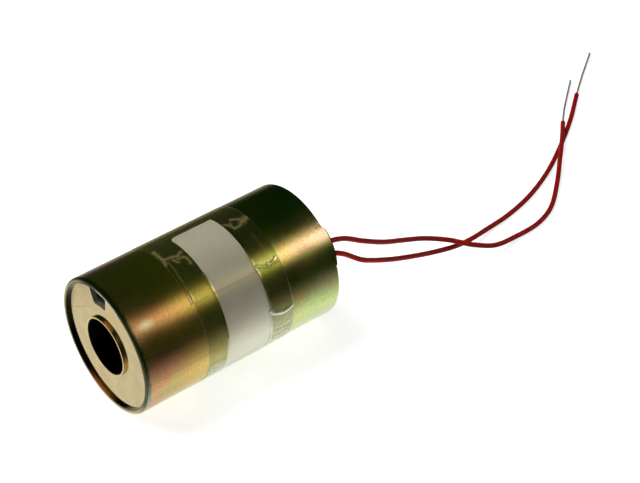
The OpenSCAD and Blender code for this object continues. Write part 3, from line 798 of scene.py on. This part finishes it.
def makeTape():
    degree = math.radians(1) * shellR
    thick, least, step = tape["thickness"], tape["thinnest"], tape["step"]
    front, firstFront, rear = tapeLow.y, tapeLow.y + tape["skew"], tapeHigh.y
    secondRear = rear - tape["skew"]
    overFrom, overTo = [a * degree for a in tape["overlap"]]
    labelFrom, labelTo = [a * degree for a in tape["labelSpan"]]
    fineFrom, fineTo = [a * degree for a in tape["fineSpan"]]
    half = math.pi * shellR
    rounds = sorted(set(gridLines(-half, fineFrom, tape["pitch"] * 3, [overFrom])
                        + gridLines(fineFrom, fineTo, tape["pitch"], [labelFrom, overTo])
                        + gridLines(fineTo, half, tape["pitch"] * 3, [labelTo])))[:-1]
    stations = gridLines(firstFront + 3 * step, rear, tape["pitch"],
                         [labelLow.y, labelHigh.y, secondRear])
    paths = [([(a * degree, y * mm) for a, y in places], width * mm, lift * mm, milk, shine)
             for places, width, lift, milk, shine in airLines]
    boxes = [(min(s for s, _ in path) - 3 * width, max(s for s, _ in path) + 3 * width,
              min(y for _, y in path) - 3 * width, max(y for _, y in path) + 3 * width)
             for path, width, _, _, _ in paths]

    def airAt(s, y):
        lift, milk, shine = 0, 0, 0
        for (path, width, up, milky, shiny), (s0, s1, y0, y1) in zip(paths, boxes):
            if s0 < s < s1 and y0 < y < y1:
                wobble = 1 + 0.3 * noise.noise(Vector((s * 1500, y * 1500, up * 9e4)))
                near = math.exp(-(lineDistance(path, s, y) / (width * wobble)) ** 2)
                lift, milk = max(lift, up * near), max(milk, milky * near)
                shine = max(shine, shiny * near)
        for a0, a1, y0, y1, milky in airPatches:
            inside = min(s - a0 * degree, a1 * degree - s, y - y0 * mm, y1 * mm - y)
            cloudy = 0.75 + 0.6 * noise.noise(Vector((s * 900, y * 900, a0)))
            milk = max(milk, milky * cloudy * smoothstep(-0.1 * mm, 0.25 * mm, inside))
        return lift, milk, shine

    bottom, top = [], []
    looks = {"trappedAir": [], "glint": [], "overPaper": []}
    for s in rounds:
        over = smoothstep(-step, step, s - overFrom) * smoothstep(-step, step, overTo - s)
        rowFront = firstFront + (front - firstFront) * over
        strip = [rowFront + (firstFront + 2 * step - rowFront) * k / 5 for k in range(6)]
        for y in strip + stations:
            outside = max(labelLow.y - y, y - labelHigh.y, labelFrom - s, s - labelTo, 0)
            gap = tape["gap"] + tape["labelThickness"] * (1 - smoothstep(step, tape["tent"], outside))
            gap += tape["ripple"] * (1 + noise.noise(Vector((s * 330, y * 330, 0.3))))
            second = over * smoothstep(-step, step, secondRear - y)
            first = smoothstep(-step, step, y - firstFront)
            lift, milk, shine = airAt(s, y)
            edge = 1 - smoothstep(0, tape["edgeWidth"], min(y - rowFront, rear - y))
            gap = min(gap + lift, tape["mostGap"])
            bottom.append(roundBore(s / shellR, shellR + gap, y))
            layers = max(least, first * (1 - over) + over * (first * second + least))
            sheet = thick * layers - tape["thinning"]
            top.append(roundBore(s / shellR, shellR + gap + sheet, y))
            looks["trappedAir"].append(max(milk, 0.05 * edge))
            looks["glint"].append(max(shine, 0.14 * edge))
            looks["overPaper"].append(1 - smoothstep(0, step, outside))
    columns = 6 + len(stations)
    count, outer = len(rounds), len(bottom)
    faces, kinds = [], []
    for i in range(count):  # lower and upper faces, then the two edges of the film
        j = (i + 1) % count
        for k in range(columns - 1):
            a, b, c, d = i * columns + k, j * columns + k, j * columns + k + 1, i * columns + k + 1
            faces += [(a, d, c, b), (outer + a, outer + b, outer + c, outer + d)]
            kinds += [1, 0]
        a, b = i * columns, j * columns
        faces.append((a, b, outer + b, outer + a))
        a, b = a + columns - 1, b + columns - 1
        faces.append((b, a, outer + a, outer + b))
        kinds += [0, 0]
    piece = meshPiece("clearTape", bottom + top, faces, filmFinish(), undersideFinish())
    piece.data.polygons.foreach_set("material_index", kinds)
    for name, values in looks.items():
        layer = piece.data.attributes.new(name, "FLOAT", "POINT")
        layer.data.foreach_set("value", values + values)
    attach(piece, "housing")
    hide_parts("clear_tape")
    print("tape laid:", len(faces), "faces")


makeTape()


# Floor, lamps and the dark tent that only shiny surfaces see
studio = {
    "floorColour": (0.9, 0.9, 0.9),
    "floorTooth": (0.89, 0.89, 0.89),
    "floorHalf": 3,
    "floorGap": 0.02 * mm,
    "floorSeen": 0.78,  # the floor's own glow to the camera
    "floorGlow": 0.66,  # and to the surfaces that reflect it
    "nearFloor": 23.5 * mm,  # as far as that glow holds, before it falls off to farFloor
    "farFloor": (0.028, 0.03, 0.02),
    "leftGain": 2.6,
    "world": 0.13,
    "tentRadius": 1.5,
    "tentDark": (0.032, 0.055, 0.016),
    "strip": (2.15, 1.9, 2.1),
    "stripEdge": (2.1, 1.9, 1.1),
    "stripAngle": 41,
    "stripWidth": 12,
}


def makeFloor():
    made = Finish("paleFloor")
    tooth = made.grain(30, 3)
    tone = made.blend(made.smooth(tooth, 0.3, 0.7), studio["floorTooth"], studio["floorColour"])
    seen, glossy, through = [made.add("ShaderNodeLightPath", output=f"Is {kind} Ray")
                             for kind in ("Camera", "Glossy", "Transmission")]
    glow = seen * studio["floorSeen"] + (glossy + through) * studio["floorGlow"]
    body = made.surface({"Base Color": tone, "Roughness": 0.9, "Specular IOR Level": 0.0,
                         "Emission Color": (1, 1, 1), "Emission Strength": glow})
    far = made.add("ShaderNodeEmission", None, {"Color": colour(studio["farFloor"]), "Strength": 1.0})
    away = (made.x * made.x + made.y * made.y * 0.25).calc("MAXIMUM", 0.0001)
    leftSide = made.smooth(made.x, -0.04, 0.0, studio["leftGain"], 1)
    near = (away.calc("POWER", -1) * leftSide * studio["nearFloor"] ** 2).clamped()
    mixed = made.add("ShaderNodeMixShader", None, {0: glossy * (1 - near), 1: body, 2: far})
    half = studio["floorHalf"]
    corners = [(-half, -half, 0), (half, -half, 0), (half, half, 0), (-half, half, 0)]
    floor = meshPiece("paleFloor", corners, [(0, 1, 2, 3)], made.done(mixed))
    floor.location.z = cadBox[0].z - studio["floorGap"]


def tentFinish():
    made = Finish("darkTent")
    angle = made.x.calc("ARCTAN2", made.z)
    off = (angle - math.radians(studio["stripAngle"])) / math.radians(studio["stripWidth"])
    back = made.y / (made.x * made.x + made.y * made.y + made.z * made.z).calc("SQRT")
    glow = ((off * off * -1).calc("EXPONENT") * made.smooth(back, 0.33, 0.5, 0.19, 1.0)
            * made.smooth(back, -0.1, 0.3, 0.6, 1.0)).clamped()
    strip = made.blend(glow, (0, 0, 0), made.blend(glow, studio["stripEdge"], studio["strip"]))
    dark = made.blend(made.smooth(back, 0.39, 0.48, 1.0, 0.22), (0, 0, 0), studio["tentDark"])
    return made.done(made.add("ShaderNodeEmission", None,
                              {"Color": made.blend(1.0, strip, dark, "ADD"), "Strength": 1.0}))


def makeTent():
    radius, rings, sides = studio["tentRadius"], 24, 48
    vertices = []
    for i in range(rings + 1):
        lift = math.pi / 2 * i / rings
        for k in range(sides):
            a = math.tau * k / sides
            vertices.append((radius * math.cos(lift) * math.cos(a), radius * math.cos(lift) * math.sin(a),
                             radius * math.sin(lift)))
    faces = [(i * sides + k, i * sides + (k + 1) % sides, (i + 1) * sides + (k + 1) % sides,
              (i + 1) * sides + k) for i in range(rings) for k in range(sides)]
    tent = meshPiece("darkTent", vertices, faces, tentFinish())
    tent.visible_camera = False
    tent.visible_diffuse = False
    tent.visible_shadow = False
    tent.visible_transmission = False


# The overhead lamp stands in a direction from the object. The table lamp lies on the table and
# shines up, as a pale table lights the lower side of what lies on it. Powers are in watts
lamps = {
    "overheadLamp": {"direction": (-0.4, -0.35, 0.85), "away": 1.6, "size": 1.2, "power": 15.5},
    "tableLamp": {"place": (0.055, -0.002), "lift": 0.2 * mm, "size": 0.07, "power": 0.024},
}


def addLamp(name, place, facing):
    data = bpy.data.lights.new(name, "AREA")
    data.shape = "DISK"
    data.size = lamps[name]["size"]
    data.energy = lamps[name]["power"]
    lamp = bpy.data.objects.new(name, data)
    lamp.location = place
    lamp.rotation_euler = facing
    lamp.visible_glossy = False
    lamp.visible_camera = False
    bpy.context.scene.collection.objects.link(lamp)


def setWorld():
    world = bpy.data.worlds.new("studioWorld")
    world.use_nodes = True
    background = world.node_tree.nodes["Background"]
    background.inputs["Color"].default_value = (1, 1, 1, 1)
    seen = addNode(world.node_tree, "ShaderNodeLightPath", output="Is Camera Ray")
    strength = seen.calc("MAXIMUM", studio["world"])
    world.node_tree.links.new(strength.socket, background.inputs["Strength"])
    bpy.context.scene.world = world


def makeStudio():
    makeFloor()
    makeTent()
    over, table = lamps["overheadLamp"], lamps["tableLamp"]
    direction = Vector(over["direction"])
    addLamp("tableLamp", (*table["place"], cadBox[0].z + table["lift"]), (math.pi, 0, 0))
    addLamp("overheadLamp", direction.normalized() * over["away"] + Vector((0, 0, axisZ)),
            direction.to_track_quat("Z", "Y").to_euler())
    setWorld()
    bpy.context.scene.view_settings.view_transform = "Standard"
    print("studio ready")


makeStudio()
